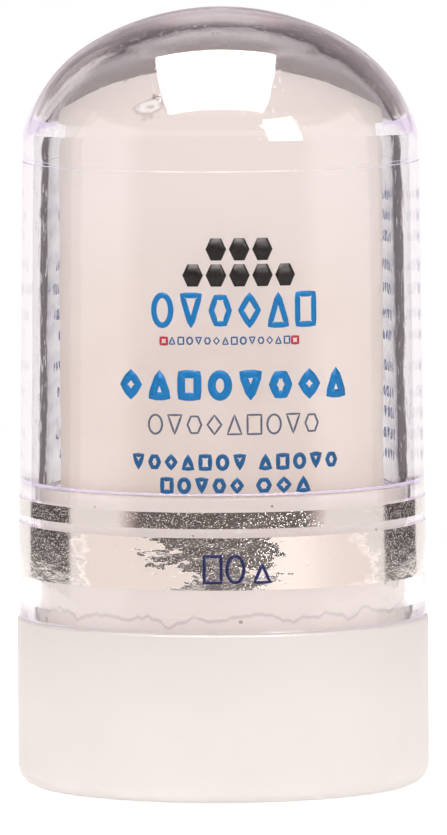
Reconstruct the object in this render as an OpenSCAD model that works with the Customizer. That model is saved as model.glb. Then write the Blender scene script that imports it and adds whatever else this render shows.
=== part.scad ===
// Alum deodorant stone: a round stone bedded in a white moulded base, under a clear domed pull-off cap.
// Millimetres, +Z up, origin at the centre of the foot. The printed front of the cap faces -Y.

/* [Stone] */
// Diameter of the stone
stone_d = 30.9; // [24:0.1:44]
// Height of the stone's straight side, under its rounded edge
stone_side_h = 42.6; // [40:0.1:60]
// Radius of the stone's domed top
stone_crown_r = 28.4; // [26:0.1:60]
// Rounding between the stone's side and its domed top
stone_edge_r = 1.0; // [0.3:0.1:3]

/* [Base] */
// Height of the base up to the shoulder that the cap closes on
base_h = 16.1; // [12:0.1:30]
// Thickness of the base's skirt
skirt_wall = 2.8; // [2.4:0.1:3.2]
// Thickness of the shoulder between skirt and neck
shoulder_t = 1.8; // [1.2:0.1:4]
// Rounding of the foot's outer edge
foot_r = 1.9; // [0.5:0.1:2.1]
// Rounding of the shoulder's outer edge
shoulder_r = 0.3; // [0.1:0.05:0.6]
// How far the base stands out past the cap's rim
base_proud = 0.2; // [0:0.05:1]

/* [Neck and socket] */
// Height of the neck above the shoulder
neck_h = 12.8; // [9:0.1:20]
// Thickness of the neck's wall
neck_wall = 1.75; // [1.2:0.05:3]
// Gap between the stone and the socket's wall
stone_gap = 0.25; // [0.1:0.05:0.6]
// Depth of the socket, from the neck's top to its floor
socket_depth = 8.3; // [4:0.1:12]
// Thickness of the socket's floor
floor_t = 1.6; // [1:0.1:3]
// Thickness of the adhesive between the socket's floor and the stone
adhesive_t = 0.8; // [0.3:0.1:2]
// How far the snap ring stands out of the neck
ring_proud = 0.2; // [0.1:0.05:0.4]
// Height of the snap ring's round section
ring_h = 1.0; // [0.9:0.1:2]
// Depth of the snap ring's middle under the neck's top
ring_drop = 3.2; // [2:0.1:6]

/* [Cap] */
// Running gap between the snap ring and the cap's skirt
cap_gap = 0.15; // [0.1:0.05:0.4]
// Seam between the cap's rim and the base's shoulder
seam = 0.1; // [0.05:0.05:0.5]
// Gap between the neck's top and the ledge inside the cap
ledge_gap = 0.3; // [0.2:0.1:1]
// Thickness of the cap's skirt at its rim
skirt_t = 1.7; // [1.3:0.05:3]
// Thickness of the cap's wall above the ledge
wall_t = 2.45; // [1.2:0.05:3.2]
// Narrowing of the cap's radius from its rim to the step under the dome
draft = 0.55; // [0.1:0.05:0.9]
// How far the dome's shoulder lies below the stone's edge
shoulder_drop = 1.6; // [0:0.1:4]
// Height of the land between the step and the dome's shoulder
land_h = 2.7; // [1:0.1:8]
// Depth of that step
step_t = 0.1; // [0.05:0.05:0.4]
// Lean of the dome's wall where it starts at the shoulder, in degrees
dome_lean = 14.9; // [8:0.1:25]
// Angle from the dome's axis at which its crown blends into its side, in degrees
crown_a = 30.6; // [20:0.1:45]
// How much larger the crown's radius is than the side's
crown_extra = 10; // [6:0.1:14]
// Thickness of the dome
dome_t = 2.0; // [1:0.05:2.2]

/* [Foil stripes] */
// Height of the wide stripe's lower edge over the cap's rim
wide_at = 4.1; // [2:0.1:5]
// Height of the wide foil stripe
wide_h = 4.95; // [3:0.05:6]
// Clear gap between the two stripes
stripe_gap = 0.85; // [0.4:0.05:3]
// Height of the narrow foil stripe
narrow_h = 1.55; // [0.6:0.05:4]
// Thickness of the foil
foil_t = 0.05; // [0.03:0.01:0.1]

/* [Print] */
// Thickness of the printed ink
ink_t = 0.04; // [0.03:0.01:0.1]
// Clear height between the narrow stripe and the lowest printed line
print_low = 1.75; // [0.5:0.05:5]
// Clear height between the printed emblem and the step under the dome
print_high = 5.7; // [3:0.1:10]
// Letter height of the two small printed lines
small_h = 1.6; // [0.8:0.05:1.8]
// Letter height of the thin printed line
thin_h = 2.1; // [0.8:0.05:2.4]
// Letter height of the bold printed line
bold_h = 2.9; // [1:0.05:3.2]
// Height of the caption line under the title
caption_h = 0.9; // [0.3:0.05:1.2]
// Height of the printed title band
title_h = 3.5; // [1:0.05:3.8]
// Height of the printed emblem
emblem_h = 5.2; // [2:0.1:5.6]
// Letter height of the quantity mark on the wide stripe
quantity_h = 2.8; // [1:0.05:3.2]
// Height of the quantity mark over the wide stripe's lower edge
quantity_at = 0.6; // [0.2:0.05:1.2]
// Height of one row of small print on the back
row_h = 1.1; // [0.5:0.05:1.4]
// Clear height over and under the rows of small print on the back
back_margin = 3.0; // [1:0.1:6]

/* [Hidden] */
$fn = 144;

// Radii, from the stone outwards
stone_r = stone_d / 2;
socket_r = stone_r + stone_gap;
neck_r = socket_r + neck_wall;
ring_r = neck_r + ring_proud;
skirt_bore_r = ring_r + cap_gap;
rim_r = skirt_bore_r + skirt_t;
base_r = rim_r + base_proud;

// Heights, from the foot upwards
neck_top = base_h + neck_h;
socket_floor = neck_top - socket_depth;
stone_z = socket_floor + adhesive_t;
stone_side_top = stone_z + stone_side_h;
rim_z = base_h + seam;
ledge_z = neck_top + ledge_gap;
shoulder_z = stone_side_top - shoulder_drop;
step_z = shoulder_z - land_h;
wide_z = rim_z + wide_at;
narrow_z = wide_z + wide_h + stripe_gap;

// The snap ring is a round bead that stands out of the neck
ring_z = neck_top - ring_drop;
ring_bead_r = (ring_h * ring_h / 4 + ring_proud * ring_proud) / (2 * ring_proud);

// The cap's outer radius under the step, narrowed by its draft
function wall_r(z) = rim_r - draft * (z - rim_z) / (step_z - rim_z);
land_r = wall_r(step_z) - step_t;

// The dome is a crown arc that blends into a side arc, which starts on the land's edge
side_x = crown_extra * sin(crown_a);
side_r = (land_r - side_x) / cos(dome_lean);
side_z = shoulder_z - side_r * sin(dome_lean);
crown_r = side_r + crown_extra;
crown_z = side_z - crown_extra * cos(crown_a);
apex_z = crown_z + crown_r;

// Side arcs are this much fuller than a tangent arc, so that the two arcs cross at a clear point
blend = 0.0005;

// The stone's domed top is tangent to its rounded edge
edge_x = stone_r - stone_edge_r;
edge_a = asin(edge_x / (stone_crown_r - stone_edge_r));
stone_crown_z = stone_side_top - (stone_crown_r - stone_edge_r) * cos(edge_a);

// Printed lines on the front, from the lowest up: two small ones, a thin one, a bold one, the caption, the
// title and the emblem. What height they leave free is shared out between them.
line_h = [small_h, small_h, thin_h, bold_h, caption_h, title_h, emblem_h];
gap_shares = [1, 2.8, 2, 3.8, 1, 0.7];
print_z = narrow_z + narrow_h + print_low;
function sum(list, count) = count == 0 ? 0 : list[count - 1] + sum(list, count - 1);
free_h = step_z - print_high - print_z - sum(line_h, len(line_h));
share_h = free_h / sum(gap_shares, len(gap_shares));
function line_z(n) = print_z + sum(line_h, n) + share_h * sum(gap_shares, n);

// Words of each line: width round the cap, and place of the word's middle to the right of the front line
line_words = [
    [[8.6, -1.95], [6.0, 5.95]],
    [[11.6, -3.25], [8.6, 7.55]],
    [[17.2, 1.2]],
    [[23.5, 1.3]],
    [[13.7, 0.8]],
    [[16.9, 1.3]],
    [[3.0, -1.85], [3.0, 1.75], [3.0, 5.35]]
];
quantity_marks = [[1.5, -0.9], [1.5, 1.1], [1.8, 3.75]];

// Colours of the lines' ink
blue = [0, 0.5, 0.78];
pale_blue = [0.42, 0.6, 0.72];
black = [0.15, 0.14, 0.14];
line_ink = [blue, blue, pale_blue, blue, blue, blue, black];

// Small print on the back: two columns, each with the angle at which its rows start and its longest row.
// Each row has its place up the print, from 0 to 1, and the angle by which it is shorter than the longest.
back_columns = [[93, 70], [186, 78]];
back_rows = [
    [0, 12], [0.08, 8], [0.16, 13], [0.24, 9], [0.34, 3], [0.46, 10],
    [0.54, 4], [0.64, 0], [0.73, 5], [0.84, 12], [0.92, 8], [1, 14]
];
back_low = narrow_z + narrow_h + back_margin;
back_high = step_z - back_margin - row_h;

// A field of print on the outside of the cap, between two heights and two angles from the front
module field(low, high, a_low, a_high, lift = 0)
    rotate([0, 0, a_low - 90])
        rotate_extrude(angle = a_high - a_low)
            polygon([
                [wall_r(low) + lift, low],
                [wall_r(low) + lift + ink_t, low],
                [wall_r(high) + lift + ink_t, high],
                [wall_r(high) + lift, high]
            ]);

// A printed line: one field for each word in a list of widths and middles
module line(low, high, words, lift = 0)
    for (word = words)
        field(low, high, angle_of(word[1] - word[0] / 2), angle_of(word[1] + word[0] / 2), lift);

function angle_of(width) = width / rim_r * 180 / PI;

// A stripe of foil all round the cap
module stripe(low, high)
    rotate_extrude()
        polygon([
            [wall_r(low), low],
            [wall_r(low) + foil_t, low],
            [wall_r(high) + foil_t, high],
            [wall_r(high), high]
        ]);

// Half section under the dome's outline, moved in by inset, down to the cap's rim
module dome_section(inset)
    intersection() {
        union() {
            translate([0, crown_z])
                circle(crown_r - inset);
            square([rim_r, side_z]);
        }
        union() {
            polygon([
                [0, crown_z],
                [2 * crown_r * tan(crown_a), crown_z + 2 * crown_r],
                [0, crown_z + 2 * crown_r]
            ]);
            translate([side_x, side_z])
                circle(side_r - inset + blend);
            square([rim_r, side_z]);
        }
        square([rim_r, 2 * apex_z]);
    }

module clear_cap()
    color([0.85, 0.85, 0.9, 0.35])
        rotate_extrude()
            difference() {
                intersection() {
                    polygon([
                        [0, rim_z],
                        [rim_r, rim_z],
                        [wall_r(step_z), step_z],
                        [land_r, step_z],
                        [land_r, apex_z + 1],
                        [0, apex_z + 1]
                    ]);
                    dome_section(0);
                }
                translate([0, rim_z - 1])
                    square([skirt_bore_r, ledge_z - rim_z + 1]);
                intersection() {
                    polygon([
                        [0, rim_z],
                        [wall_r(rim_z) - wall_t, rim_z],
                        [wall_r(apex_z) - wall_t, apex_z],
                        [0, apex_z]
                    ]);
                    dome_section(dome_t);
                }
            }

// One moulding: a skirt with a hollow underside, a shoulder, and a neck with the socket's floor in it
module base_cup()
    color([0.96, 0.94, 0.93])
        rotate_extrude()
            difference() {
                union() {
                    translate([0, foot_r])
                        square([base_r, base_h - foot_r - shoulder_r]);
                    square([base_r - foot_r, base_h]);
                    translate([base_r - foot_r, foot_r])
                        circle(foot_r);
                    translate([0, base_h - 2 * shoulder_r])
                        square([base_r - shoulder_r, 2 * shoulder_r]);
                    translate([base_r - shoulder_r, base_h - shoulder_r])
                        circle(shoulder_r);
                    square([neck_r, neck_top]);
                    translate([ring_r - ring_bead_r, ring_z])
                        circle(ring_bead_r);
                }
                translate([0, socket_floor])
                    square([socket_r, neck_top]);
                translate([0, -1])
                    square([socket_r, socket_floor - floor_t + 1]);
                translate([0, -1])
                    square([base_r - skirt_wall, base_h - shoulder_t + 1]);
            }

module adhesive_bed()
    color([0.9, 0.87, 0.8])
        translate([0, 0, socket_floor])
            cylinder(h = adhesive_t, r = stone_r);

module alum_stone()
    color([0.91, 0.86, 0.84])
        rotate_extrude()
            union() {
                translate([0, stone_z])
                    square([stone_r, stone_side_h]);
                translate([edge_x, stone_side_top])
                    circle(stone_edge_r);
                intersection() {
                    translate([0, stone_crown_z])
                        circle(stone_crown_r);
                    polygon([
                        [0, stone_crown_z],
                        [2 * stone_crown_r * tan(edge_a), stone_crown_z + 2 * stone_crown_r],
                        [0, stone_crown_z + 2 * stone_crown_r]
                    ]);
                }
            }

module narrow_foil_stripe()
    color([0.8, 0.8, 0.8])
        stripe(narrow_z, narrow_z + narrow_h);

module wide_foil_stripe()
    color([0.8, 0.8, 0.8])
        stripe(wide_z, wide_z + wide_h);

// Lines of print on the cap's front, as fields of colour
module front_print()
    for (n = [0 : len(line_h) - 1])
        color(line_ink[n])
            line(line_z(n), line_z(n) + line_h[n], line_words[n]);

// Rows of small print on the cap's back
module back_print()
    color([0.3, 0.45, 0.75])
        for (column = back_columns)
            for (row = back_rows)
                field(
                    back_low + row[0] * (back_high - back_low),
                    back_low + row[0] * (back_high - back_low) + row_h,
                    column[0],
                    column[0] + column[1] - row[1]
                );

// The quantity mark, printed over the wide stripe
module quantity_mark()
    color([0.15, 0.2, 0.45])
        line(wide_z + quantity_at, wide_z + quantity_at + quantity_h, quantity_marks, foil_t);

base_cup();
adhesive_bed();
alum_stone();
clear_cap();
narrow_foil_stripe();
wide_foil_stripe();
front_print();
back_print();
quantity_mark();
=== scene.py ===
"""Looks for an alum deodorant stone: a white moulded base, the stone, and a clear domed pull-off cap."""

import math

import bmesh
import bpy
from mathutils import Matrix, Vector


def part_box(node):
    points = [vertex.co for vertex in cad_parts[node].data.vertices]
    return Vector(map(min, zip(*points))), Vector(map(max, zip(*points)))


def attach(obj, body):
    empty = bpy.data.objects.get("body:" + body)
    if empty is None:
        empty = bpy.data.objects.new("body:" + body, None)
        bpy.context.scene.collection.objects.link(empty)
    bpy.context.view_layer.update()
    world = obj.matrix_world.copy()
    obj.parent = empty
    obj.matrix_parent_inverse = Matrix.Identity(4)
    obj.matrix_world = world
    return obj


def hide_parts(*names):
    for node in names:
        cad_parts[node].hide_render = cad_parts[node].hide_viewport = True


bl_info = {
    "name": "Alum Deodorant Stone",
    "version": (1, 0, 0),
    "blender": (4, 5, 0),
    "location": "3D View > Sidebar > Stone",
    "description": "Builds the pieces, finishes and studio of an alum deodorant stone",
    "category": "Object",
}

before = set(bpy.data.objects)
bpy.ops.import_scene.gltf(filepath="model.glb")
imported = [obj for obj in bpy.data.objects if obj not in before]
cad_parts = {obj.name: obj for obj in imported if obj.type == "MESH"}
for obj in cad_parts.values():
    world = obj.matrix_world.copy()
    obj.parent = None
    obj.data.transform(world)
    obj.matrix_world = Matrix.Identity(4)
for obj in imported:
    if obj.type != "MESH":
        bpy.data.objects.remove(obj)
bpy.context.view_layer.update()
MM = 0.001

# What the frame gives
BASE_LOW, BASE_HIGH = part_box("base_cup")
CAP_LOW, CAP_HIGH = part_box("clear_cap")
STONE_LOW, STONE_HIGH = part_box("alum_stone")
WIDE_LOW, WIDE_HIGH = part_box("wide_foil_stripe")
NARROW_LOW, NARROW_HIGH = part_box("narrow_foil_stripe")
FRONT_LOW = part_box("front_print")[0]
BACK_LOW, BACK_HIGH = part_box("back_print")
MARK_LOW, MARK_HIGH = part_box("quantity_mark")

# How finely round pieces are cut
SEGMENTS = 320
FINE_STEP = 0.45 * MM


def linear(hex_colour):
    """The linear colour of an sRGB hex value such as F4ECE8."""
    parts = [int(hex_colour[i:i + 2], 16) / 255 for i in (0, 2, 4)]
    return tuple(c / 12.92 if c <= 0.04045 else ((c + 0.055) / 1.055) ** 2.4 for c in parts)


def size(name, description, millimetres):
    """A length property whose default is given in millimetres."""
    return bpy.props.FloatProperty(
        name=name, description=description, default=millimetres * MM, min=0, unit="LENGTH", precision=5
    )


def colour(name, description, hex_colour):
    """A colour property whose default is an sRGB hex value."""
    return bpy.props.FloatVectorProperty(
        name=name, description=description, default=linear(hex_colour),
        size=3, min=0, max=1, subtype="COLOR",
    )


class BaseSizes(bpy.types.PropertyGroup):
    """Sizes of the white base that the photograph and the part give."""

    height: size("Base height", "From the foot to the shoulder that the cap closes on", 16.1)
    skirt_wall: size("Skirt wall", "Thickness of the skirt round the hollow underside", 2.8)
    shoulder: size("Shoulder", "Thickness between the skirt's hollow and the shoulder", 1.8)
    foot_round: size("Foot rounding", "Rounding of the foot's outer edge", 1.9)
    shoulder_round: size("Shoulder rounding", "Rounding of the shoulder's outer edge", 0.3)
    neck_radius: size("Neck radius", "Outer radius of the neck that holds the stone", 17.45)
    socket_radius: size("Socket radius", "Inner radius of the neck", 15.7)
    socket_depth: size("Socket depth", "From the neck's top to the socket's floor", 8.3)
    floor: size("Socket floor", "Thickness of the socket's floor", 1.6)
    ring_proud: size("Ring", "How far the snap ring stands out of the neck", 0.2)
    ring_height: size("Ring height", "Height of the snap ring", 1.0)
    ring_drop: size("Ring drop", "Depth of the snap ring's middle under the neck's top", 3.2)
    edge_round: size("Edge rounding", "Rounding of the moulding's small edges", 0.18)


class CapSizes(bpy.types.PropertyGroup):
    """Sizes of the clear cap."""

    bore_radius: size("Skirt bore", "Inner radius of the skirt that slides over the neck", 17.8)
    ledge_z: size("Ledge", "Height of the ledge inside the cap, over the foot", 29.2)
    wall: size("Wall", "Thickness of the wall above the ledge", 2.45)
    draft: size("Draft", "Narrowing of the radius from the rim to the step", 0.55)
    step: size("Step", "Depth of the step under the dome", 0.1)
    step_z: size("Step height", "Height of the step under the dome, over the foot", 59.7)
    land: size("Land", "Height between the step and the dome's shoulder", 2.7)
    dome: size("Dome thickness", "Thickness of the dome", 2.0)
    edge_round: size("Edge rounding", "Rounding of the moulding's small edges", 0.12)
    crown_extra: size("Crown", "How much larger the crown's radius is than the side's", 10.0)
    crown_angle: bpy.props.FloatProperty(
        name="Crown angle", description="Angle at which the crown blends into the dome's side",
        default=math.radians(30.6), subtype="ANGLE",
    )
    dome_lean: bpy.props.FloatProperty(
        name="Dome lean", description="Lean of the dome's wall where it starts at the shoulder",
        default=math.radians(14.9), subtype="ANGLE",
    )


class StoneSizes(bpy.types.PropertyGroup):
    """Sizes of the alum stone."""

    edge_round: size("Edge rounding", "Rounding between the side and the domed top", 1.0)
    crown_radius: size("Crown radius", "Radius of the domed top", 28.4)
    side: size("Side", "Height of the straight side", 42.6)
    foot_round: size("Foot rounding", "Rounding of the lower edge, hidden in the socket", 0.5)


class PrintSizes(bpy.types.PropertyGroup):
    """Thicknesses of the ink and the foil, and the gap that keeps their faces off the cap's."""

    ink: size("Ink", "Thickness of the printed ink", 0.025)
    foil: size("Foil", "Thickness of the foil", 0.035)
    gap: size("Gap", "Air between the cap and what is printed on it", 0.01)


class PackColours(bpy.types.PropertyGroup):
    """Colours of the pack's own materials."""

    base: colour("Base", "White polypropylene", "E6E1E0")
    # Painted light: the neck's warmer colour stands in for light that reaches it warmed through the cap and
    # the foil
    neck: colour("Neck", "The base's neck, yellowed a little under the cap", "E8DFDB")
    stone: colour("Stone", "Cast alum", "E2D6CC")
    stone_cloud: colour("Stone clouds", "Denser clouds in the alum", "E8DDD5")
    # Painted light: the stone's paler upper end stands for more light falling on it from above
    stone_lit_top: colour("Stone top", "Frosted upper end of the stone", "ECE3DE")
    cap: colour("Cap", "Clear polystyrene", "FFFFFF")
    cap_tint: colour("Cap tint", "What a long way through the cap's plastic leaves of white", "E4E0F4")
    foil: colour("Foil", "Hot-stamped foil", "F2EDEA")
    blue: colour("Blue ink", "Blue of the title and the bold line", "0074B6")
    deep: colour("Deep blue ink", "Blue of the caption and the lower lines", "14568A")
    pale: colour("Pale ink", "Grey-blue of the thin line", "585F74")
    black: colour("Black ink", "Black of the emblem", "1F1B1A")
    navy: colour("Navy ink", "Navy of the mark", "121A52")
    small: colour("Small print", "Blue of the small print on the back", "203A92")
    red: colour("Red ink", "Red of the two small squares", "B22B42")
    adhesive: colour("Adhesive", "Hot-melt adhesive under the stone", "D8CDB4")


# Outlines

def arc(centre, radius, start, end, steps):
    """Points on an arc in the plane of radius and height, between two angles from the radius axis."""
    turns = [start + (end - start) * i / steps for i in range(steps + 1)]
    return [(centre[0] + radius * math.cos(a), centre[1] + radius * math.sin(a)) for a in turns]


def rounded(corners, steps=5):
    """An outline through corners of (radius, height, rounding), with a tangent arc at each rounded one."""
    outline = []
    for i, (x, z, rounding) in enumerate(corners):
        here = Vector((x, z))
        if rounding == 0 or i in (0, len(corners) - 1):
            outline.append((x, z))
            continue
        before = (Vector(corners[i - 1][:2]) - here).normalized()
        after = (Vector(corners[i + 1][:2]) - here).normalized()
        half = before.angle(after) / 2
        centre = here + (before + after).normalized() * rounding / math.sin(half)
        first = here + before * rounding / math.tan(half) - centre
        last = here + after * rounding / math.tan(half) - centre
        spread = first.angle(last)
        for k in range(steps + 1):
            share = k / steps
            away = first * math.sin((1 - share) * spread) + last * math.sin(share * spread)
            outline.append(tuple(centre + away / math.sin(spread)))
    return outline


def cut_finely(outline, step):
    """The same outline with its long straight stretches cut into steps of about one length."""
    cut = [outline[0]]
    for end in outline[1:]:
        start = Vector(cut[-1])
        count = max(1, math.ceil((Vector(end) - start).length / step))
        cut += [tuple(start.lerp(Vector(end), k / count)) for k in range(1, count + 1)]
    return cut


# Meshes

def piece(name, vertices, faces, material, body, slot, *nodes):
    """A smooth mesh object in its place, which rides on a body and stands for some of the part's nodes."""
    mesh = bpy.data.meshes.new(name)
    mesh.from_pydata(vertices, [], faces)
    work = bmesh.new()
    work.from_mesh(mesh)
    bmesh.ops.recalc_face_normals(work, faces=work.faces)
    work.to_mesh(mesh)
    work.free()
    mesh.shade_smooth()
    mesh.materials.append(material)
    made = bpy.data.objects.new(name, mesh)
    bpy.context.scene.collection.objects.link(made)
    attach(made, body)
    if nodes:
        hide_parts(*nodes)
    return made


def lathe(outline, loop=False, segments=SEGMENTS):
    """Vertices and faces of an outline turned about the upright axis. Points on the axis become poles."""
    vertices, faces, rings = [], [], []
    for radius, height in outline:
        if radius < 1e-9:
            rings.append([len(vertices)] * segments)
            vertices.append((0, 0, height))
            continue
        rings.append(range(len(vertices), len(vertices) + segments))
        for k in range(segments):
            turn = 2 * math.pi * k / segments
            vertices.append((radius * math.cos(turn), radius * math.sin(turn), height))
    pairs = list(zip(rings, rings[1:]))
    if loop:
        pairs.append((rings[-1], rings[0]))
    for low, high in pairs:
        for k in range(segments):
            n = (k + 1) % segments
            corners = [low[k], low[n], high[n], high[k]]
            faces.append([c for i, c in enumerate(corners) if c != corners[i - 1]])
    return vertices, faces


def wall_radius(height):
    """The cap's outer radius at a height under the step, narrowed by its draft."""
    cap = bpy.context.scene.cap_sizes
    return CAP_HIGH.x - cap.draft * (height - CAP_LOW.z) / (cap.step_z - CAP_LOW.z)


def on_cap(across, height, lift):
    """The point on the cap at a distance to the right of its front line, lifted off its surface."""
    turn = across / CAP_HIGH.x
    radius = wall_radius(height) + lift
    return (radius * math.sin(turn), -radius * math.cos(turn), height)


class Ink:
    """Closed thin shapes laid on the cap's outside, gathered into one mesh."""

    def __init__(self, lift, thickness):
        self.low = lift
        self.high = lift + thickness
        self.vertices = []
        self.faces = []

    def stroke(self, line, width):
        """A stroke of one width along a closed line of (across, height) points."""
        start = len(self.vertices)
        count = len(line)
        for i, here in enumerate(line):
            along = (Vector(line[(i + 1) % count]) - Vector(line[i - 1])).normalized()
            side = Vector((-along.y, along.x)) * width / 2
            left, right = Vector(here) + side, Vector(here) - side
            self.vertices += [on_cap(*left, self.low), on_cap(*right, self.low)]
            self.vertices += [on_cap(*right, self.high), on_cap(*left, self.high)]
        for i in range(count):
            a, b = start + 4 * i, start + 4 * ((i + 1) % count)
            self.faces += [[a + k, a + (k + 1) % 4, b + (k + 1) % 4, b + k] for k in range(4)]

    def patch(self, rows, columns):
        """A filled shape given as rows of (height, left, right), cut into columns."""
        start = len(self.vertices)
        width = columns + 1
        for lift in (self.low, self.high):
            for height, left, right in rows:
                for k in range(width):
                    self.vertices.append(on_cap(left + (right - left) * k / columns, height, lift))
        layer = len(rows) * width

        def place(row, column, level):
            return start + level * layer + row * width + column

        for row in range(len(rows) - 1):
            for k in range(columns):
                for level in (0, 1):
                    self.faces.append([
                        place(row, k, level), place(row, k + 1, level),
                        place(row + 1, k + 1, level), place(row + 1, k, level),
                    ])
            for k in (0, columns):
                self.faces.append([
                    place(row, k, 0), place(row + 1, k, 0),
                    place(row + 1, k, 1), place(row, k, 1),
                ])
        for row in (0, len(rows) - 1):
            for k in range(columns):
                self.faces.append([
                    place(row, k, 0), place(row, k + 1, 0),
                    place(row, k + 1, 1), place(row, k, 1),
                ])


# Simple shapes for the rows of print, each a closed line in shares of its own box

def polygon(corners, turned=0.0):
    """A regular polygon in its box, with a corner at the top unless it is turned."""
    turns = [math.radians(turned) + 2 * math.pi * k / corners for k in range(corners)]
    return [(0.5 + 0.5 * math.sin(t), 0.5 + 0.5 * math.cos(t)) for t in turns]


BOX = [(0, 0), (1, 0), (1, 1), (0, 1)]
ROOF = [(0, 0), (1, 0), (0.5, 1)]
FUNNEL = [(0, 1), (0.5, 0), (1, 1)]
SHAPES = (polygon(20), BOX, ROOF, polygon(4), polygon(6, 30), FUNNEL)


def finely(line, step):
    """A closed line of points cut so that it bends with the cap."""
    return cut_finely(line + line[:1], step)[:-1]


def row_of_shapes(ink, middle, width, low, height, count, stroke, first):
    """A row of simple shapes, whose order is given by the place in the list of the first one."""
    pitch = width / count
    for k in range(count):
        left = middle - width / 2 + pitch * (k + 0.1)
        box = [
            (left + stroke / 2 + x * (pitch * 0.8 - stroke), low + stroke / 2 + z * (height - stroke))
            for x, z in SHAPES[(first + k * 5) % len(SHAPES)]
        ]
        ink.stroke(finely(box, FINE_STEP), stroke)


# Materials

def new_material(name):
    """An empty material and its tree, with the output in place."""
    material = bpy.data.materials.new(name)
    material.use_nodes = True
    tree = material.node_tree
    tree.nodes.clear()
    return material, tree, tree.nodes.new("ShaderNodeOutputMaterial")


def add(tree, kind, inputs=None, **settings):
    """Adds a node with its properties, and with its sockets, each as a value or as an output to link."""
    node = tree.nodes.new(kind)
    for name, value in settings.items():
        setattr(node, name, value)
    for name, value in (inputs or {}).items():
        socket = node.inputs[name]
        if isinstance(value, bpy.types.NodeSocket):
            tree.links.new(value, socket)
        elif isinstance(value, tuple) and len(value) == 3 and socket.type == "RGBA":
            socket.default_value = (*value, 1)
        else:
            socket.default_value = value
    return node


def place_of(tree, stretch=(1, 1, 1)):
    """Where a point of the object is, in metres, with each axis stretched."""
    where = add(tree, "ShaderNodeTexCoord").outputs["Object"]
    return add(tree, "ShaderNodeMapping", {"Vector": where, "Scale": stretch}).outputs["Vector"]


def per_metre(millimetres):
    """The texture scale at which a pattern's features are this many millimetres apart."""
    return 1 / (millimetres * MM)


def noise(tree, where, millimetres, detail=2, roughness=0.5):
    """Noise whose features are this many millimetres across."""
    inputs = {"Vector": where, "Scale": per_metre(millimetres), "Detail": detail, "Roughness": roughness}
    return add(tree, "ShaderNodeTexNoise", inputs).outputs["Fac"]


def ramp(tree, factor, low, high, first, last):
    """first up to the value low, last from the value high, and a blend between them."""
    node = add(tree, "ShaderNodeMapRange", {"Value": factor, "From Min": low, "From Max": high})
    node.inputs["To Min"].default_value = first
    node.inputs["To Max"].default_value = last
    return node.outputs["Result"]


def blend(tree, factor, first, last):
    """A colour between two."""
    node = add(tree, "ShaderNodeMix", data_type="RGBA")
    for socket, value in ((node.inputs[0], factor), (node.inputs[6], first), (node.inputs[7], last)):
        if isinstance(value, bpy.types.NodeSocket):
            tree.links.new(value, socket)
        else:
            socket.default_value = (*value, 1)
    return node.outputs[2]


def math_node(tree, operation, first, second=0.0):
    """The result of a sum, product or comparison of two values."""
    node = add(tree, "ShaderNodeMath", operation=operation)
    for socket, value in zip(node.inputs, (first, second)):
        if isinstance(value, bpy.types.NodeSocket):
            tree.links.new(value, socket)
        else:
            socket.default_value = value
    return node.outputs[0]


def bump(tree, height, distance, strength=1.0, normal=None):
    """A normal from a height map whose full range is this deep, in millimetres."""
    inputs = {"Height": height, "Distance": distance * MM, "Strength": strength}
    if normal is not None:
        inputs["Normal"] = normal
    return add(tree, "ShaderNodeBump", inputs).outputs["Normal"]


def let_light_by(tree, surface, share=1.0):
    """The surface as it is seen, but light on its way to what lies under it passes straight through."""
    path = add(tree, "ShaderNodeLightPath")
    lit = math_node(tree, "MAXIMUM", path.outputs["Is Shadow Ray"], path.outputs["Is Diffuse Ray"])
    if share < 1:
        lit = math_node(tree, "MULTIPLY", lit, share)
    through = add(tree, "ShaderNodeBsdfTransparent", {"Color": (1.0, 1.0, 1.0)})
    mixed = add(tree, "ShaderNodeMixShader", {"Fac": lit})
    tree.links.new(surface, mixed.inputs[1])
    tree.links.new(through.outputs["BSDF"], mixed.inputs[2])
    return mixed.outputs["Shader"]


# A ray counts as caught in the clear plastic after this many reflections, or this many faces, and there the
# plastic glows with painted light this strong
CAUGHT_REFLECTIONS = 3.5
CAUGHT_FACES = 7.5
CAUGHT_PAINTED_GLOW = 0.42


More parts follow.
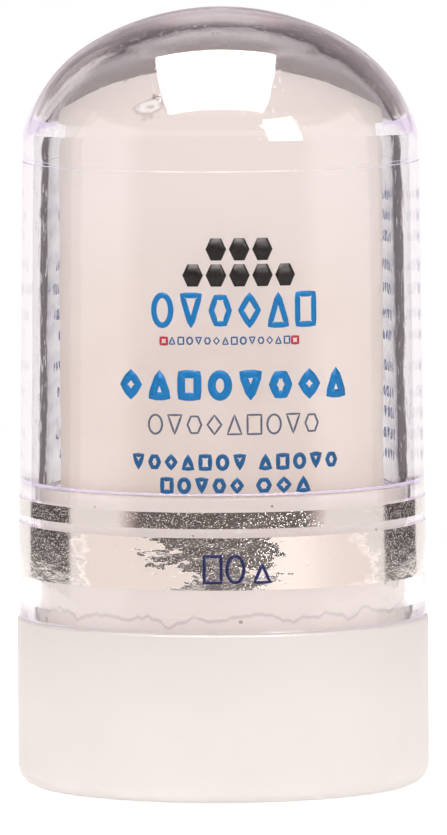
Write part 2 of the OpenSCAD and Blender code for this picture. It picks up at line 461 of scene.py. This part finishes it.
def clear_polystyrene(colours):
    """General purpose polystyrene, injection moulded in a polished mould.

    It gives a hard glassy gloss, strong bending of light and a cold violet cast where light goes a long way
    through it, part of that cast a painted violet glow. The polished mould leaves a slight waviness, and
    handling leaves fine scratches.
    """
    material, tree, out = new_material("polystyrene_clear_moulded")
    where = place_of(tree)
    waves = bump(tree, noise(tree, where, 5.0, 2), 0.022)
    scratched = noise(tree, place_of(tree, (1, 1, 0.25)), 0.5, 3, 0.6)
    scratches = bump(tree, ramp(tree, scratched, 0.62, 0.72, 0, 1), 0.003, 1.0, waves)
    # Painted light: the plastic glows pale violet where a ray is caught, standing in for light caught
    # between the wall's faces that comes out at last
    path = add(tree, "ShaderNodeLightPath")
    reflected = math_node(tree, "GREATER_THAN", path.outputs["Glossy Depth"], CAUGHT_REFLECTIONS)
    passed = math_node(tree, "GREATER_THAN", path.outputs["Ray Depth"], CAUGHT_FACES)
    caught = math_node(tree, "MAXIMUM", reflected, passed)
    plastic = add(tree, "ShaderNodeBsdfPrincipled", {
        "Base Color": tuple(colours.cap), "Roughness": 0.0, "IOR": 1.59, "Transmission Weight": 1.0,
        "Normal": scratches, "Emission Color": (1.0, 0.86, 1.0),
        "Emission Strength": math_node(tree, "MULTIPLY", caught, CAUGHT_PAINTED_GLOW),
    })
    tree.links.new(let_light_by(tree, plastic.outputs["BSDF"]), out.inputs["Surface"])
    # Along long ways through the plastic, some light is lost, and a faint violet painted glow in its volume
    # gives some back
    tint = add(tree, "ShaderNodeVolumeAbsorption", {"Color": tuple(colours.cap_tint), "Density": 30.0})
    painted_haze_glow = add(tree, "ShaderNodeEmission", {"Color": (0.92, 0.86, 1.0), "Strength": 6.0})
    both = add(tree, "ShaderNodeAddShader")
    tree.links.new(tint.outputs["Volume"], both.inputs[0])
    tree.links.new(painted_haze_glow.outputs["Emission"], both.inputs[1])
    tree.links.new(both.outputs["Shader"], out.inputs["Volume"])
    return material


def white_polypropylene(colours):
    """Polypropylene with white pigment, injection moulded in a finely blasted mould.

    It gives a satin sheen, and light sinks in a little, so that edges look soft.
    """
    material, tree, out = new_material("polypropylene_white_moulded")
    where = place_of(tree)
    clouds = noise(tree, where, 9.0, 2)
    shade = blend(tree, ramp(tree, clouds, 0.35, 0.65, 0, 1), tuple(colours.base),
                  tuple(c * 0.975 for c in colours.base))
    height = add(tree, "ShaderNodeSeparateXYZ", {"Vector": where}).outputs["Z"]
    neck = ramp(tree, height, 16.2 * MM, 16.5 * MM, 0, 1)
    # Painted shade under the cap: the moulding is made a little greyer toward its shoulder
    painted_shoulder_shade = tuple(c * 0.92 for c in colours.base)
    shade = blend(tree, ramp(tree, height, 8 * MM, 15 * MM, 0, 1), shade, painted_shoulder_shade)
    # Painted light: above the shoulder the base gets a warmer colour for the light that reaches it through
    # the cap and the foil
    shade = blend(tree, neck, shade, tuple(colours.neck))
    # Grime left where the cap's skirt slides: a thin wavy line and a few specks
    wave = noise(tree, place_of(tree, (1, 1, 0)), 4.0, 3, 0.6)
    off = math_node(tree, "SUBTRACT", height, ramp(tree, wave, 0.3, 0.7, 16.6 * MM, 18.2 * MM))
    line = ramp(tree, math_node(tree, "ABSOLUTE", off), 0.04 * MM, 0.24 * MM, 0.42, 0)
    shade = blend(tree, math_node(tree, "MULTIPLY", line, neck), shade, linear("A79AA6"))
    specks = ramp(tree, noise(tree, where, 1.1, 1), 0.76, 0.79, 0, 0.8)
    shade = blend(tree, math_node(tree, "MULTIPLY", specks, neck), shade, linear("8F7A5E"))
    grain = bump(tree, noise(tree, where, 0.35, 2, 0.6), 0.004)
    plastic = add(tree, "ShaderNodeBsdfPrincipled", {
        "Base Color": shade, "IOR": 1.49, "Subsurface Weight": 0.15, "Subsurface Scale": 1.2 * MM,
        "Subsurface Radius": (1.0, 0.85, 0.75), "Normal": grain,
        "Roughness": ramp(tree, clouds, 0.3, 0.7, 0.36, 0.44),
    })
    tree.links.new(plastic.outputs["BSDF"], out.inputs["Surface"])
    return material


def cast_alum(colours):
    """Potassium alum, cast from a melt into a stick and polished.

    It gives a cloudy, faintly rosy white that light sinks into, with paler clouds of fine bubbles and a
    smooth, damp-looking skin.
    """
    material, tree, out = new_material("alum_cast_polished")
    where = place_of(tree)
    clouds = noise(tree, where, 8.0, 4, 0.55)
    cloudy = ramp(tree, clouds, 0.35, 0.7, 0, 1)
    shade = blend(tree, cloudy, tuple(colours.stone), tuple(colours.stone_cloud))
    bubbles = noise(tree, where, 1.1, 2, 0.7)
    shade = blend(tree, ramp(tree, bubbles, 0.7, 0.78, 0, 0.5), shade, tuple(colours.stone_cloud))
    height = add(tree, "ShaderNodeSeparateXYZ", {"Vector": where}).outputs["Z"]
    # Painted light: the stone is made paler toward its top, as if lit more from above
    shade = blend(tree, ramp(tree, height, 44 * MM, 57 * MM, 0, 1), shade, tuple(colours.stone_lit_top))
    # A burst bubble on the top's left, with a dark speck at its upper rim: each ring's middle, inner and
    # outer radius in millimetres, and tone
    ragged = ramp(tree, noise(tree, where, 0.9, 1, 0.5), 0.3, 0.7, -0.25 * MM, 0.25 * MM)
    for middle, inner, outer, tone in (
        ((-6.4, -12.8, 65.1), 1.2, 1.5, "CDBEBD"),
        ((-6.4, -12.8, 65.1), 0.8, 1.2, "FFFCFA"),
        ((-6.3, -12.9, 65.0), 0.15, 0.5, "D5C8C2"),
        ((-5.9, -11.3, 65.9), 0.2, 0.45, "6E5F58"),
    ):
        inputs = {0: where, 1: tuple(v * MM for v in middle)}
        away = add(tree, "ShaderNodeVectorMath", inputs, operation="DISTANCE").outputs["Value"]
        away = math_node(tree, "ADD", away, ragged)
        shade = blend(tree, ramp(tree, away, inner * MM, outer * MM, 1, 0), shade, linear(tone))
    skin = bump(tree, noise(tree, where, 3.0, 3, 0.6), 0.02)
    stone = add(tree, "ShaderNodeBsdfPrincipled", {
        "Base Color": shade, "IOR": 1.46, "Subsurface Weight": 0.12, "Subsurface Scale": 1.6 * MM,
        "Subsurface Radius": (1.0, 0.85, 0.8), "Normal": skin,
        "Roughness": ramp(tree, clouds, 0.3, 0.7, 0.46, 0.56),
    })
    tree.links.new(stone.outputs["BSDF"], out.inputs["Surface"])
    return material


def hot_stamped_foil(colours):
    """Aluminium on a film, hot stamped on the moulded cap.

    It gives a mirror that breaks up into fine speckles and flat wrinkles.
    """
    material, tree, out = new_material("aluminium_foil_hot_stamped")
    # The film is rough with fine dents in the middle of the front and round the back, and smooth between
    wrinkles = noise(tree, place_of(tree, (0.5, 0.5, 1)), 1.5, 3, 0.55)
    x, y, z = add(tree, "ShaderNodeSeparateXYZ", {"Vector": place_of(tree)}).outputs
    turn = math_node(tree, "ARCTAN2", math_node(tree, "ABSOLUTE", x), math_node(tree, "MULTIPLY", y, -1.0))
    turn = math_node(tree, "ADD", turn, ramp(tree, wrinkles, 0.3, 0.7, -0.1, 0.1))
    rough = math_node(tree, "MAXIMUM", ramp(tree, turn, 0.4, 0.5, 1, 0), ramp(tree, turn, 0.8, 0.86, 0, 1))
    speckles = ramp(tree, noise(tree, place_of(tree), 0.15, 1, 0.5), 0.6, 0.75, 0, 1)
    dents = bump(tree, math_node(tree, "MULTIPLY", speckles, rough), 0.014)
    folds = bump(tree, wrinkles, 0.02, 1.0, dents)
    # Beside the middle, the wide stripe leans a little toward the floor, with a ragged limit
    streaks = noise(tree, place_of(tree, (0.25, 0.25, 1)), 1.0, 4, 0.65)
    leaning = bump(tree, ramp(tree, z, WIDE_LOW.z, WIDE_HIGH.z, 0, 1), 0.5)
    leaning = bump(tree, streaks, 0.05, 1.0, leaning)
    limit = math_node(tree, "ADD", turn, ramp(tree, streaks, 0.3, 0.7, -0.2, 0.2))
    lower = ramp(tree, z, WIDE_LOW.z, WIDE_HIGH.z, 0.08, 0)
    limit = ramp(tree, math_node(tree, "ADD", limit, lower), 0.27, 0.31, 0, 1)
    limit = math_node(tree, "MULTIPLY", limit, ramp(tree, turn, 0.72, 0.8, 1, 0))
    limit = math_node(tree, "MULTIPLY", limit, ramp(tree, z, WIDE_HIGH.z, NARROW_LOW.z, 1, 0))
    normal = add(tree, "ShaderNodeMix", data_type="VECTOR")
    for place, value in ((0, limit), (4, folds), (5, leaning)):
        tree.links.new(value, normal.inputs[place])
    foil = add(tree, "ShaderNodeBsdfPrincipled", {
        "Base Color": blend(tree, limit, tuple(colours.foil), linear("DCD1CB")), "Metallic": 1.0,
        "Roughness": 0.1, "Normal": normal.outputs[1],
    })
    tree.links.new(let_light_by(tree, foil.outputs["BSDF"], 0.85), out.inputs["Surface"])
    return material


def screen_ink(name, tone):
    """Solvent ink, screen printed and dried.

    It gives an even, slightly glossy colour, a little thinner in places where the mesh left less of it.
    """
    material, tree, out = new_material(name)
    mesh = noise(tree, place_of(tree), 0.3, 2, 0.6)
    thin = tuple(1 - (1 - c) * 0.985 for c in tone)
    shade = blend(tree, ramp(tree, mesh, 0.45, 0.75, 0, 1), tuple(tone), thin)
    ink = add(tree, "ShaderNodeBsdfPrincipled", {
        "Base Color": shade, "IOR": 1.35, "Roughness": ramp(tree, mesh, 0.3, 0.7, 0.4, 0.5),
        "Normal": bump(tree, mesh, 0.003),
    })
    tree.links.new(let_light_by(tree, ink.outputs["BSDF"], 0.9), out.inputs["Surface"])
    return material


def set_adhesive(colours):
    """Hot-melt adhesive, poured and set.

    It gives a smooth, waxy, yellowish layer with soft lumps.
    """
    material, tree, out = new_material("hot_melt_adhesive_set")
    lumps = noise(tree, place_of(tree), 2.5, 2)
    glue = add(tree, "ShaderNodeBsdfPrincipled", {
        "Base Color": blend(tree, lumps, tuple(colours.adhesive), tuple(c * 0.9 for c in colours.adhesive)),
        "IOR": 1.48, "Roughness": ramp(tree, lumps, 0.3, 0.7, 0.35, 0.5), "Normal": bump(tree, lumps, 0.1),
    })
    tree.links.new(glue.outputs["BSDF"], out.inputs["Surface"])
    return material


# Pieces

class STONE_OT_base(bpy.types.Operator):
    """Builds the white base, one moulding with the neck and the socket."""

    bl_idname = "stone.base"
    bl_label = "White base"

    def execute(self, context):
        base = context.scene.base_sizes
        edge = base.edge_round
        radius = BASE_HIGH.x
        neck_top = BASE_HIGH.z
        ring_z = neck_top - base.ring_drop
        half_ring = base.ring_height / 2
        socket_z = neck_top - base.socket_depth
        corners = [
            (0, socket_z - base.floor, 0),
            (base.socket_radius, socket_z - base.floor, edge),
            (base.socket_radius, base.height - base.shoulder, edge),
            (radius - base.skirt_wall, base.height - base.shoulder, edge),
            (radius - base.skirt_wall, BASE_LOW.z, edge),
            (radius, BASE_LOW.z, base.foot_round),
            (radius, base.height, base.shoulder_round),
            (base.neck_radius, base.height, edge),
            (base.neck_radius, ring_z - half_ring, edge),
            (base.neck_radius + base.ring_proud, ring_z, half_ring),
            (base.neck_radius, ring_z + half_ring, edge),
            (base.neck_radius, neck_top, 2 * edge),
            (base.socket_radius, neck_top, 2 * edge),
            (base.socket_radius, socket_z, edge),
            (0, socket_z, 0),
        ]
        outline = cut_finely(rounded(corners), 2.0 * MM)
        material = white_polypropylene(context.scene.pack_colours)
        piece("base_moulding", *lathe(outline), material, "base", "base_polypropylene", "base_cup")
        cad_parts["adhesive_bed"].data.materials.clear()
        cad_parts["adhesive_bed"].data.materials.append(set_adhesive(context.scene.pack_colours))
        return {"FINISHED"}


class STONE_OT_stone(bpy.types.Operator):
    """Builds the alum stone with its domed top."""

    bl_idname = "stone.stone"
    bl_label = "Alum stone"

    def execute(self, context):
        stone = context.scene.stone_sizes
        radius = STONE_HIGH.x
        side_top = STONE_LOW.z + stone.side
        edge_x = radius - stone.edge_round
        inner = stone.crown_radius - stone.edge_round
        meet = math.acos(edge_x / inner)
        crown_z = side_top - inner * math.sin(meet)
        foot = rounded([
            (0, STONE_LOW.z, 0), (radius, STONE_LOW.z, stone.foot_round), (radius, side_top, 0),
        ])
        outline = cut_finely(foot, 1.0 * MM)
        outline += arc((edge_x, side_top), stone.edge_round, 0, meet, 10)[1:]
        outline += arc((0, crown_z), stone.crown_radius, meet, math.pi / 2, 40)[1:]
        outline[-1] = (0, outline[-1][1])
        material = cast_alum(context.scene.pack_colours)
        piece("stone_cast", *lathe(outline), material, "base", "alum_crystal", "alum_stone")
        return {"FINISHED"}


class STONE_OT_cap(bpy.types.Operator):
    """Builds the clear cap, one moulding with the skirt, the wall and the dome."""

    bl_idname = "stone.cap"
    bl_label = "Clear cap"

    def execute(self, context):
        cap = context.scene.cap_sizes
        edge = cap.edge_round
        shoulder_z = cap.step_z + cap.land
        land = wall_radius(cap.step_z) - cap.step
        side_x = cap.crown_extra * math.sin(cap.crown_angle)
        side_r = (land - side_x) / math.cos(cap.dome_lean)
        side_z = shoulder_z - side_r * math.sin(cap.dome_lean)
        crown_r = side_r + cap.crown_extra
        crown_z = side_z - cap.crown_extra * math.cos(cap.crown_angle)
        crown_from = math.pi / 2 - cap.crown_angle

        # The bore leans in with the wall and meets the dome's inside in a corner
        bore_low = wall_radius(cap.ledge_z) - cap.wall
        inner_side = side_r - cap.dome
        meet = math.acos((wall_radius(shoulder_z) - cap.wall - side_x) / inner_side)
        meet_z = side_z + inner_side * math.sin(meet)
        inside = arc((0, crown_z), crown_r - cap.dome, math.pi / 2, crown_from, 36)
        inside += arc((side_x, side_z), inner_side, crown_from, meet, 36)[1:-1]
        inside[0] = (0, inside[0][1])
        walls = cut_finely(rounded([
            (*inside[-1], 0),
            (wall_radius(meet_z) - cap.wall, meet_z, 2 * edge),
            (bore_low, cap.ledge_z, edge),
            (cap.bore_radius, cap.ledge_z, edge),
            (cap.bore_radius, CAP_LOW.z, edge),
            (CAP_HIGH.x, CAP_LOW.z, edge),
            (wall_radius(cap.step_z), cap.step_z, cap.step * 0.3),
            (land, cap.step_z + cap.step * 0.4, cap.step * 0.3),
            (land, shoulder_z, 0),
        ]), 1.5 * MM)
        outside = arc((side_x, side_z), side_r, cap.dome_lean, crown_from, 44)[1:]
        outside += arc((0, crown_z), crown_r, crown_from, math.pi / 2, 40)[1:]
        outside[-1] = (0, outside[-1][1])
        outline = inside[:-1] + walls + outside
        material = clear_polystyrene(context.scene.pack_colours)
        piece("cap_moulding", *lathe(outline), material, "cap", "cap_polystyrene", "clear_cap")
        return {"FINISHED"}


class STONE_OT_stripes(bpy.types.Operator):
    """Builds the two foil stripes round the cap."""

    bl_idname = "stone.stripes"
    bl_label = "Foil stripes"

    def execute(self, context):
        thin = context.scene.print_sizes
        material = hot_stamped_foil(context.scene.pack_colours)
        stripes = {
            "stripe_wide": (WIDE_LOW.z, WIDE_HIGH.z, "wide_foil_stripe"),
            "stripe_narrow": (NARROW_LOW.z, NARROW_HIGH.z, "narrow_foil_stripe"),
        }
        for name, (low, high, node) in stripes.items():
            outline = [
                (wall_radius(low) + thin.gap, low),
                (wall_radius(high) + thin.gap, high),
                (wall_radius(high) + thin.gap + thin.foil, high),
                (wall_radius(low) + thin.gap + thin.foil, low),
            ]
            made = piece(name, *lathe(outline, loop=True), material, "cap", "stripe_foil", node)
            made.data.set_sharp_from_angle(angle=math.radians(30))
        return {"FINISHED"}


class STONE_OT_front(bpy.types.Operator):
    """Lays rows of simple shapes on the cap's front, in the places of its printed lines."""

    bl_idname = "stone.front"
    bl_label = "Front print"

    def execute(self, context):
        thin = context.scene.print_sizes
        colours = context.scene.pack_colours
        blue, deep, pale, red = (Ink(thin.gap, thin.ink) for _ in range(4))
        # Ink, middle, width, low edge over the lowest row's, height, number of shapes, stroke, first shape
        for ink, middle, width, low, height, count, stroke, first in (
            (deep, -1.95, 8.4, 0, 1.6, 5, 0.42, 1),
            (deep, 5.95, 5.9, 0, 1.6, 3, 0.42, 4),
            (deep, -3.25, 11.5, 2.2, 1.6, 7, 0.42, 5),
            (deep, 7.55, 8.5, 2.2, 1.6, 5, 0.42, 2),
            (pale, 1.2, 17.2, 5.55, 2.0, 9, 0.2, 0),
            (blue, 1.3, 23.5, 8.8, 2.9, 8, 0.78, 3),
            (deep, 0.8, 12.0, 14.05, 0.8, 14, 0.16, 2),
            (blue, 1.3, 16.9, 15.6, 3.4, 6, 0.55, 0),
        ):
            low_edge = FRONT_LOW.z + low * MM
            row_of_shapes(ink, middle * MM, width * MM, low_edge, height * MM, count, stroke * MM, first)
        for middle in (-5.6, 7.2):
            box = [((middle + (x - 0.5) * 0.62) * MM, (43.5 + z * 0.62) * MM) for x, z in BOX]
            red.stroke(finely(box, FINE_STEP), 0.26 * MM)
        black = Ink(thin.gap, thin.ink)
        # Rows of filled hexagons: middle of the first, step, low edge, height and number, in millimetres
        for middle, step, low, height, count in ((-2.75, 2.25, 48.95, 2.1, 5), (-0.5, 2.25, 51.4, 2.1, 3)):
            for k in range(count):
                here = middle + k * step
                rows = [(low, 0.5), (low + height / 2, 1), (low + height, 0.5)]
                black.patch([(z * MM, (here - w) * MM, (here + w) * MM) for z, w in rows], 4)
        inks = (
            ("print_blue", blue, "ink_blue", colours.blue),
            ("print_deep", deep, "ink_deep_blue", colours.deep),
            ("print_pale", pale, "ink_grey_blue", colours.pale),
            ("print_red", red, "ink_red", colours.red),
            ("print_black", black, "ink_black", colours.black),
        )
        for name, ink, finish, tone in inks:
            material = screen_ink(finish, tone)
            piece(name, ink.vertices, ink.faces, material, "cap", "front_ink", "front_print")
        return {"FINISHED"}


class STONE_OT_back(bpy.types.Operator):
    """Lays rows of small shapes on the cap's back, in the places of its small print."""

    bl_idname = "stone.back"
    bl_label = "Back print"

    def execute(self, context):
        thin = context.scene.print_sizes
        ink = Ink(thin.gap, thin.ink)
        row_height = 1.1 * MM
        low = BACK_LOW.z
        span = BACK_HIGH.z - BACK_LOW.z - row_height
        # Two columns, each with the angle at which its rows start and its longest row
        columns = ((93, 70), (186, 78))
        rows = (
            (0, 12), (0.08, 8), (0.16, 13), (0.24, 9), (0.34, 3), (0.46, 10),
            (0.54, 4), (0.64, 0), (0.73, 5), (0.84, 12), (0.92, 8), (1, 14),
        )
        pitch = 1.3 * MM
        for start, longest in columns:
            for n, (place, short) in enumerate(rows):
                width = math.radians(longest - short) * CAP_HIGH.x
                middle = math.radians(start) * CAP_HIGH.x + width / 2
                height = low + place * span
                count = round(width / pitch)
                row_of_shapes(ink, middle, width, height, row_height, count, 0.42 * MM, n)
        material = screen_ink("ink_blue_small_print", context.scene.pack_colours.small)
        piece("print_back", ink.vertices, ink.faces, material, "cap", "back_ink", "back_print")
        return {"FINISHED"}


class STONE_OT_mark(bpy.types.Operator):
    """Lays the dark mark over the wide stripe."""

    bl_idname = "stone.mark"
    bl_label = "Mark on the stripe"

    def execute(self, context):
        thin = context.scene.print_sizes
        ink = Ink(2 * thin.gap + thin.foil, thin.ink)
        low = MARK_LOW.z
        height = MARK_HIGH.z - MARK_LOW.z
        # Middle and width in millimetres, share of the mark's height, and outline
        shapes = ((-0.95, 1.6, 1, BOX), (1.2, 1.6, 1, polygon(28)), (3.75, 1.5, 0.7, ROOF))
        for middle, width, share, line in shapes:
            box = [
                ((middle + (x - 0.5) * width) * MM, low + 0.15 * MM + z * (height * share - 0.3 * MM))
                for x, z in line
            ]
            ink.stroke(finely(box, FINE_STEP), 0.3 * MM)
        material = screen_ink("ink_navy", context.scene.pack_colours.navy)
        piece("print_mark", ink.vertices, ink.faces, material, "cap", "mark_ink", "quantity_mark")
        return {"FINISHED"}


# Studio

SOFTBOX_LIGHT = 22.0
PANEL_LIGHT = 0.85
FLOOR_RADIUS = 0.24
CAMERA_DISTANCE = 1.05
CAMERA_ELEVATION = math.radians(4.85)
CAMERA_ROLL = math.radians(0.3)
CAMERA_LENS = 473
CAMERA_SENSOR = 36
CAMERA_TARGET = Vector((0.15, 0, 35.0)) * MM


def window(tree, across, along, sides, soft, light=1.0):
    """This much light inside a window, given by its sides along two values, with soft edges along each."""
    left, right, near, far = sides
    inside = math_node(tree, "MULTIPLY", ramp(tree, across, left - soft[0], left + soft[0], 0, 1),
                       ramp(tree, across, right - soft[0], right + soft[0], 1, 0))
    deep = math_node(tree, "MULTIPLY", ramp(tree, along, near - soft[1], near + soft[1], 0, 1),
                     ramp(tree, along, far - soft[1], far + soft[1], 1, 0))
    return math_node(tree, "MULTIPLY", math_node(tree, "MULTIPLY", inside, deep), light)


def brightest(tree, *lights):
    """The largest of several lights."""
    most = lights[0]
    for light in lights[1:]:
        most = math_node(tree, "MAXIMUM", most, light)
    return most


def shiny_ray(tree, path):
    """One for a ray from what shines or is clear."""
    return math_node(tree, "MAXIMUM", path.outputs["Is Glossy Ray"], path.outputs["Is Transmission Ray"])


def studio_world():
    """A plain even light, with white panels and dark gaps between them for what shines or is clear."""
    world = bpy.data.worlds.new("studio")
    world.use_nodes = True
    tree = world.node_tree
    tree.nodes.clear()
    way = add(tree, "ShaderNodeTexCoord").outputs["Generated"]
    x, y, z = add(tree, "ShaderNodeSeparateXYZ", {"Vector": way}).outputs
    # How far a direction is turned, in degrees: 0 is behind the object, 180 is the camera's side, and to
    # the left the turn counts as negative
    turn = math_node(tree, "ARCTAN2", math_node(tree, "ABSOLUTE", x), y)
    degrees = math_node(tree, "MULTIPLY", turn, 180 / math.pi)
    turned = math_node(tree, "MULTIPLY", degrees, math_node(tree, "SIGN", x))
    # Behind, a white sheet reaches just over the horizon, and the wall over it is grey and darkens upward
    behind = math_node(tree, "MULTIPLY", ramp(tree, turned, -40.5, -38.5, 0, 1),
                       ramp(tree, turned, 36, 38, 1, 0))
    sheet = ramp(tree, z, 0.04, 0.11, 1, 0)
    grey = ramp(tree, z, 0.3, 0.52, 0.28, 0.1)
    # The wall is paler in its middle, at its left, where the limit leans, and low down at both ends
    paler = window(tree, turned, z, (-8, 8, 0.2, 0.54), (4, 0.07), 0.66)
    leaning = math_node(tree, "SUBTRACT", turned, ramp(tree, z, 0.28, 0.46, 0, 9))
    left = window(tree, leaning, z, (-60, -27, 0.12, 0.53), (2, 0.05), 0.72)
    low_left = window(tree, turned, z, (-40, -23, 0.02, 0.22), (3, 0.03), 0.85)
    low_right = window(tree, turned, z, (27, 38.5, 0.07, 0.2), (1, 0.03), 0.75)
    wall = math_node(tree, "MULTIPLY", brightest(tree, sheet, grey, paler, left, low_left), behind)
    # Two panels stand beside the object
    near = brightest(tree, ramp(tree, turned, 74, 76, 0, 1), ramp(tree, turned, -84, -82, 1, 0))
    far = math_node(tree, "MULTIPLY", ramp(tree, degrees, 119, 134, 1, 0), ramp(tree, z, 0.52, 0.58, 1, 0))
    beside = math_node(tree, "MULTIPLY", math_node(tree, "MULTIPLY", near, far), PANEL_LIGHT)
    # The large softbox hangs overhead, askew, and the small one stands to the right of the camera
    up = math_node(tree, "MAXIMUM", z, 0.05)
    along = math_node(tree, "DIVIDE", y, up)
    half_width = math_node(tree, "MULTIPLY", up, ramp(tree, along, -1, 1, 0.62, 0.24))
    across = math_node(tree, "DIVIDE", x, half_width)
    overhead = window(tree, across, along, (-1.03, 0.87, -0.59, 0.43), (0.02, 0.02), SOFTBOX_LIGHT)
    small = window(tree, turned, z, (128.2, 149.6, 0.37, 0.67), (0.5, 0.01), SOFTBOX_LIGHT)
    dark = ramp(tree, degrees, 100, 130, 0.07, 0.11)
    shown = brightest(tree, wall, low_right, beside, overhead, small, dark)
    warmth = blend(tree, ramp(tree, shown, 0.4, 1, 0, 1), (1.0, 0.8, 0.78), (1.0, 0.96, 0.94))

    path = add(tree, "ShaderNodeLightPath")
    shiny = shiny_ray(tree, path)
    panels_light = add(tree, "ShaderNodeBackground", {"Color": warmth, "Strength": shown})
    # The even light is a little stronger from the camera's side
    strength = ramp(tree, y, -1, 1, 1.13, 0.79)
    even_light = add(tree, "ShaderNodeBackground", {"Color": (1.0, 0.945, 0.915), "Strength": strength})
    backdrop = add(tree, "ShaderNodeBackground", {"Color": (1.0, 1.0, 1.0), "Strength": 1.0})
    lit = add(tree, "ShaderNodeMixShader", {"Fac": shiny})
    tree.links.new(even_light.outputs[0], lit.inputs[1])
    tree.links.new(panels_light.outputs[0], lit.inputs[2])
    seen = add(tree, "ShaderNodeMixShader", {"Fac": path.outputs["Is Camera Ray"]})
    tree.links.new(lit.outputs[0], seen.inputs[1])
    tree.links.new(backdrop.outputs[0], seen.inputs[2])
    out = add(tree, "ShaderNodeOutputWorld")
    tree.links.new(seen.outputs[0], out.inputs["Surface"])
    return world


def pale_floor():
    """White laminate, pressed: a plain pale floor that keeps the object's shadow."""
    material, tree, out = new_material("laminate_white_pressed")
    grain = noise(tree, place_of(tree), 3.0, 2)
    board = add(tree, "ShaderNodeBsdfPrincipled", {
        "Base Color": blend(tree, grain, linear("BBB9B7"), linear("BFBDBB")), "Roughness": 0.6,
    })
    # What the board's own colour leaves of white is added evenly, so that its shadow stays a pale one
    glow = add(tree, "ShaderNodeEmission", {"Color": (1.0, 1.0, 1.0)})
    path = add(tree, "ShaderNodeLightPath")
    shiny = shiny_ray(tree, path)
    seen = math_node(tree, "MAXIMUM", path.outputs["Is Camera Ray"], shiny)
    seen_glow = ramp(tree, seen, 0, 1, 0.55, 0.64)
    strength = math_node(tree, "ADD", seen_glow, math_node(tree, "MULTIPLY", shiny, -0.2))
    tree.links.new(strength, glow.inputs["Strength"])
    both = add(tree, "ShaderNodeAddShader")
    tree.links.new(board.outputs["BSDF"], both.inputs[0])
    tree.links.new(glow.outputs["Emission"], both.inputs[1])
    tree.links.new(both.outputs["Shader"], out.inputs["Surface"])
    return material


class STONE_OT_stage(bpy.types.Operator):
    """Builds the studio: the floor, the even light with its panels, and the camera."""

    bl_idname = "stone.stage"
    bl_label = "Studio"

    def execute(self, context):
        context.scene.world = studio_world()
        context.scene.view_settings.view_transform = "Standard"

        disc = bmesh.new()
        bmesh.ops.create_circle(disc, cap_ends=True, radius=FLOOR_RADIUS, segments=96)
        mesh = bpy.data.meshes.new("floor")
        disc.to_mesh(mesh)
        disc.free()
        mesh.materials.append(pale_floor())
        floor = bpy.data.objects.new("floor", mesh)
        context.scene.collection.objects.link(floor)

        lens = bpy.data.cameras.new("camera")
        lens.sensor_fit = "VERTICAL"
        lens.sensor_height = CAMERA_SENSOR
        lens.lens = CAMERA_LENS
        lens.clip_start = 0.05
        lens.clip_end = 20
        camera = bpy.data.objects.new("camera", lens)
        context.scene.collection.objects.link(camera)
        away = Vector((0, -math.cos(CAMERA_ELEVATION), math.sin(CAMERA_ELEVATION)))
        camera.location = CAMERA_TARGET + away * CAMERA_DISTANCE
        look = (-away).to_track_quat("-Z", "Y").to_matrix().to_4x4()
        roll = Matrix.Rotation(-CAMERA_ROLL, 4, "Z")
        camera.matrix_world = Matrix.Translation(camera.location) @ look @ roll
        context.scene.camera = camera
        return {"FINISHED"}


class STONE_PT_panel(bpy.types.Panel):
    """Lists the pieces, their sizes and their colours."""

    bl_idname = "STONE_PT_panel"
    bl_label = "Alum Deodorant Stone"
    bl_space_type = "VIEW_3D"
    bl_region_type = "UI"
    bl_category = "Stone"

    def draw(self, context):
        for operator in OPERATORS:
            self.layout.operator(operator.bl_idname)
        for holder in GROUPS:
            group = getattr(context.scene, holder)
            box = self.layout.box()
            for name in group.bl_rna.properties.keys():
                if name not in ("rna_type", "name"):
                    box.prop(group, name)


OPERATORS = (
    STONE_OT_stage, STONE_OT_base, STONE_OT_stone, STONE_OT_cap, STONE_OT_stripes, STONE_OT_front,
    STONE_OT_back, STONE_OT_mark,
)
GROUPS = {
    "base_sizes": BaseSizes, "cap_sizes": CapSizes, "stone_sizes": StoneSizes, "print_sizes": PrintSizes,
    "pack_colours": PackColours,
}


def register():
    """Registers the groups, the operators and the panel."""
    for holder, group in GROUPS.items():
        bpy.utils.register_class(group)
        setattr(bpy.types.Scene, holder, bpy.props.PointerProperty(type=group))
    for made in (*OPERATORS, STONE_PT_panel):
        bpy.utils.register_class(made)


def unregister():
    """Takes them out again."""
    for made in (STONE_PT_panel, *reversed(OPERATORS)):
        bpy.utils.unregister_class(made)
    for holder, group in GROUPS.items():
        delattr(bpy.types.Scene, holder)
        bpy.utils.unregister_class(group)


def main():
    """Builds everything."""
    register()
    bpy.ops.stone.stage()
    bpy.ops.stone.base()
    bpy.ops.stone.stone()
    bpy.ops.stone.cap()
    bpy.ops.stone.stripes()
    bpy.ops.stone.front()
    bpy.ops.stone.back()
    bpy.ops.stone.mark()


if __name__ == "__main__":
    main()
